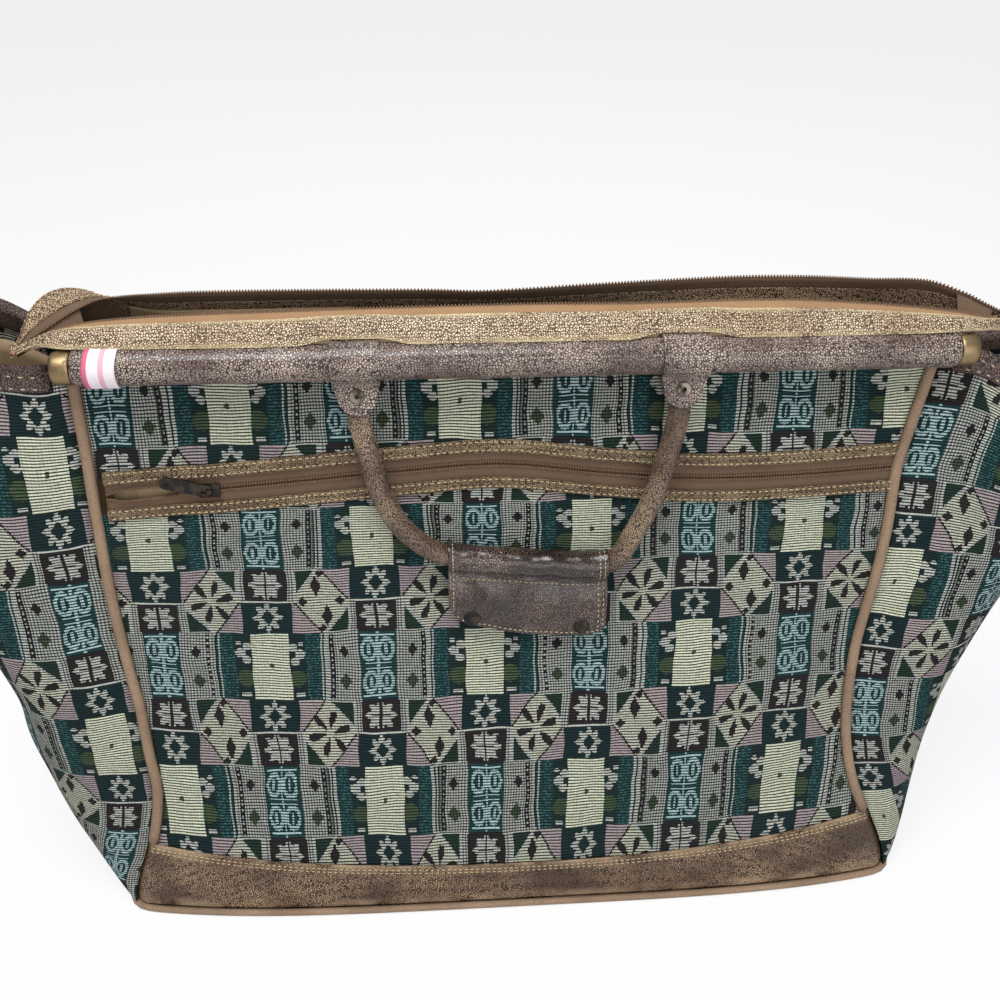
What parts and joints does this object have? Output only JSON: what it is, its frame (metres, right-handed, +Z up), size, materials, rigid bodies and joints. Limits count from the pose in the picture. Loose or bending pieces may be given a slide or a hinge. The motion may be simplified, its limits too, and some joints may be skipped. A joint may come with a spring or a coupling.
{
  "type": "carpet bag",
  "caption": "Open-topped tapestry travel bag with leather-covered rods along its mouth, rolled handles and a zipped front pocket.",
  "frame": {"origin": "centre of the flat bottom", "axes": "+X along the bag towards its right end, -Y out of the front with the pocket, +Z up"},
  "size_m": [0.7826, 0.24, 0.442],
  "materials": {
    "tapestry": "woven tapestry cloth, matt",
    "lining": "plain beige lining cloth",
    "base_board": "grey-brown stiffening board",
    "speckled_leather": "pebbled tan leather with dark brown speckles",
    "rod_leather": "mottled mauve-brown leather with a soft sheen",
    "handle_leather": "tan-brown speckled leather",
    "grip_leather": "dark brown glossy pebbled leather",
    "kick_leather": "mottled brown pebbled leather",
    "hem_leather": "dark brown leather",
    "welt_leather": "pinkish tan leather welt",
    "zip_tape": "tan-brown woven zip tape",
    "zip_teeth": "brown coil teeth",
    "dark_metal": "antiqued dark metal",
    "cap_brass": "antique brass, dulled",
    "rod_tube": "plain steel tube, hidden",
    "tag_cloth": "woven ribbon"
  },
  "bodies": {
    "bag": {"base_panel": "kick_leather", "base_board": "base_board", "base_lining": "lining", "base_piping": "welt_leather", "front_lower_panel": "tapestry", "front_upper_panel": "tapestry", "rear_panel": "tapestry", "left_gusset": "tapestry", "right_gusset": "tapestry", "front_lining": "lining", "rear_lining": "lining", "left_lining": "lining", "right_lining": "lining", "front_kick_band": "kick_leather", "rear_kick_band": "kick_leather", "front_left_piping": "welt_leather", "front_right_piping": "welt_leather", "rear_left_piping": "welt_leather", "rear_right_piping": "welt_leather", "left_gusset_hem": "hem_leather", "right_gusset_hem": "hem_leather", "right_strap_patches": "hem_leather", "right_end_strap": "hem_leather", "front_mouth_band": "speckled_leather", "rear_mouth_band": "speckled_leather", "front_mouth_tape": "zip_tape", "rear_mouth_tape": "zip_tape", "front_mouth_teeth": "zip_teeth", "rear_mouth_teeth": "zip_teeth", "mouth_slider": "dark_metal", "front_rod": "rod_tube", "rear_rod": "rod_tube", "front_rod_sleeve": "rod_leather", "rear_rod_sleeve": "rod_leather", "front_rod_caps": "cap_brass", "rear_rod_caps": "cap_brass", "rod_tag": "tag_cloth", "pocket_upper_trim": "speckled_leather", "pocket_lower_trim": "speckled_leather", "pocket_upper_tape": "zip_tape", "pocket_lower_tape": "zip_tape", "pocket_upper_teeth": "zip_teeth", "pocket_lower_teeth": "zip_teeth", "pocket_pouch": "lining"},
    "front_handle": {"front_handle_roll": "handle_leather", "front_handle_loops": "handle_leather", "front_handle_rivets": "dark_metal", "grip_wrap": "grip_leather", "grip_snap_caps": "dark_metal", "grip_snap_backs": "dark_metal"},
    "rear_handle": {"rear_handle_roll": "handle_leather", "rear_handle_loops": "handle_leather", "rear_handle_rivets": "dark_metal"},
    "pocket_slider": {"pocket_slider": "dark_metal"},
    "pocket_pull": {"pocket_pull": "dark_metal"},
    "mouth_pull": {"mouth_pull": "dark_metal"}
  },
  "joints": [
    {"name": "front_handle_swing", "type": "hinge", "parent": "bag", "child": "front_handle", "pos_m": [0, -0.036, 0.41], "axis": [-1, 0, 0], "range_deg": [0, 165]},
    {"name": "rear_handle_swing", "type": "hinge", "parent": "bag", "child": "rear_handle", "pos_m": [0, 0.036, 0.41], "axis": [1, 0, 0], "range_deg": [0, 165]},
    {"name": "pocket_slide", "type": "slide", "parent": "bag", "child": "pocket_slider", "axis": [1, 0.0018, 0.0079], "range_m": [-0.025, 0.425]},
    {"name": "pocket_pull_turn", "type": "hinge", "parent": "pocket_slider", "child": "pocket_pull", "pos_m": [-0.195, -0.04389, 0.32635], "axis": [0.234, 0.2181, 0.9475], "range_deg": [0, 170]},
    {"name": "mouth_pull_turn", "type": "hinge", "parent": "bag", "child": "mouth_pull", "pos_m": [0.2965, -0.02, 0.42501], "axis": [0, -1, 0], "range_deg": [0, 170]}
  ]
}
